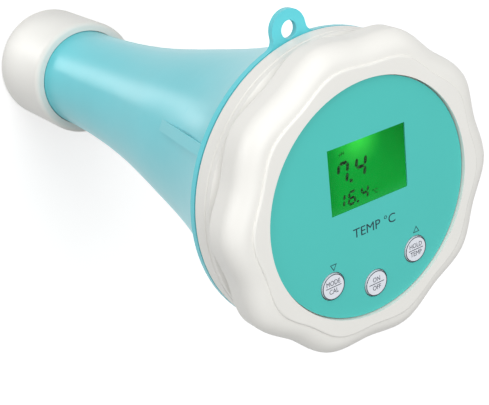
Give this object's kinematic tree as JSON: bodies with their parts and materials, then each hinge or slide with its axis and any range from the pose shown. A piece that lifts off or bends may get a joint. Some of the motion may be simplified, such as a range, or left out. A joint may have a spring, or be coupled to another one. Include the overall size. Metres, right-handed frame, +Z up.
{
  "type": "floating pool thermometer",
  "caption": "Upright floating water tester: round lit display under a lobed lock ring, horn-shaped float with a tether eyelet, capped probe end.",
  "frame": {"origin": "centre of the tail cap's flat end, which it stands on", "axes": "+Z up the float's axis towards the display, +Y towards the display's twelve o'clock, +X to the right of the display"},
  "size_m": [0.1094, 0.1146, 0.228],
  "materials": {
    "aqua_plastic": "smooth semi-gloss moulded plastic",
    "white_plastic": "smooth satin moulded plastic",
    "teal_panel": "satin printed film",
    "key_white": "satin",
    "clear_window": "clear acrylic",
    "lcd_face": "green backlit display",
    "light_guide": "frosted acrylic",
    "dark_plastic": "fine texture",
    "natural_plastic": "unpainted",
    "seal_rubber": "matte",
    "circuit_board": "solder mask",
    "chip_black": "moulded",
    "switch_body": "moulded",
    "shield_metal": "tinned",
    "plated_steel": "nickel plated",
    "stainless": "brushed",
    "electrode_glass": "clear glass",
    "ceramic_junction": "porous",
    "cable_jacket": "smooth jacket",
    "cell_sleeve": "shrink sleeve"
  },
  "bodies": {
    "float": {"float_shell": "aqua_plastic", "ballast_ring": "plated_steel", "sensor_carrier": "dark_plastic", "carrier_seal": "seal_rubber", "probe_seals": "seal_rubber", "ph_electrode": "electrode_glass", "temperature_probe": "stainless", "reference_junction": "ceramic_junction", "probe_guard": "dark_plastic", "preamp_board": "circuit_board", "sensor_cable": "cable_jacket", "cable_plug": "natural_plastic", "cap_seal": "seal_rubber"},
    "display_head": {"display_housing": "white_plastic", "panel_overlay": "teal_panel", "lcd_window": "clear_window", "lcd_glass": "lcd_face", "lcd_frame": "natural_plastic", "backlight_guide": "light_guide", "backlight_led": "light_guide", "contact_strips": "seal_rubber", "main_board": "circuit_board", "board_screws": "plated_steel", "tact_switches": "switch_body", "radio_module": "shield_metal", "controller_chips": "chip_black", "cable_socket": "natural_plastic", "rear_cover": "dark_plastic", "cover_screws": "plated_steel", "battery_cell_1": "cell_sleeve", "battery_cell_2": "cell_sleeve", "battery_springs": "plated_steel", "contact_plates": "plated_steel", "head_seal": "seal_rubber"},
    "lock_ring": {"lock_ring": "white_plastic", "retaining_ring": "dark_plastic"},
    "tail_cap": {"tail_cap": "white_plastic"},
    "battery_door": {"battery_door": "dark_plastic"},
    "left_key": {"left_key_cap": "key_white", "left_switch_plunger": "switch_body"},
    "centre_key": {"centre_key_cap": "key_white", "centre_switch_plunger": "switch_body"},
    "right_key": {"right_key_cap": "key_white", "right_switch_plunger": "switch_body"}
  },
  "joints": [
    {"name": "ring_turn", "type": "hinge", "parent": "display_head", "child": "lock_ring", "pos_m": [0, 0, 0.215], "axis": [0, 0, 1], "range_deg": [0, 540]},
    {"name": "display_lift", "type": "slide", "parent": "float", "child": "display_head", "axis": [0, 0, 1], "range_m": [0, 0.00601]},
    {"name": "left_key_press", "type": "slide", "parent": "display_head", "child": "left_key", "axis": [0, 0, -1], "range_m": [0, 0.00035], "stiffness_N_per_m": 3000},
    {"name": "centre_key_press", "type": "slide", "parent": "display_head", "child": "centre_key", "axis": [0, 0, -1], "range_m": [0, 0.00035], "stiffness_N_per_m": 3000},
    {"name": "right_key_press", "type": "slide", "parent": "display_head", "child": "right_key", "axis": [0, 0, -1], "range_m": [0, 0.00035], "stiffness_N_per_m": 3000},
    {"name": "door_release", "type": "slide", "parent": "display_head", "child": "battery_door", "axis": [0, 0, -1], "range_m": [0, 0.01]},
    {"name": "cap_pull", "type": "slide", "parent": "float", "child": "tail_cap", "axis": [0, 0, -1], "range_m": [0, 0.034]}
  ],
  "couplings": [
    {"joint": "display_lift", "follows": "ring_turn", "m_per_rad": 0.00063662}
  ]
}
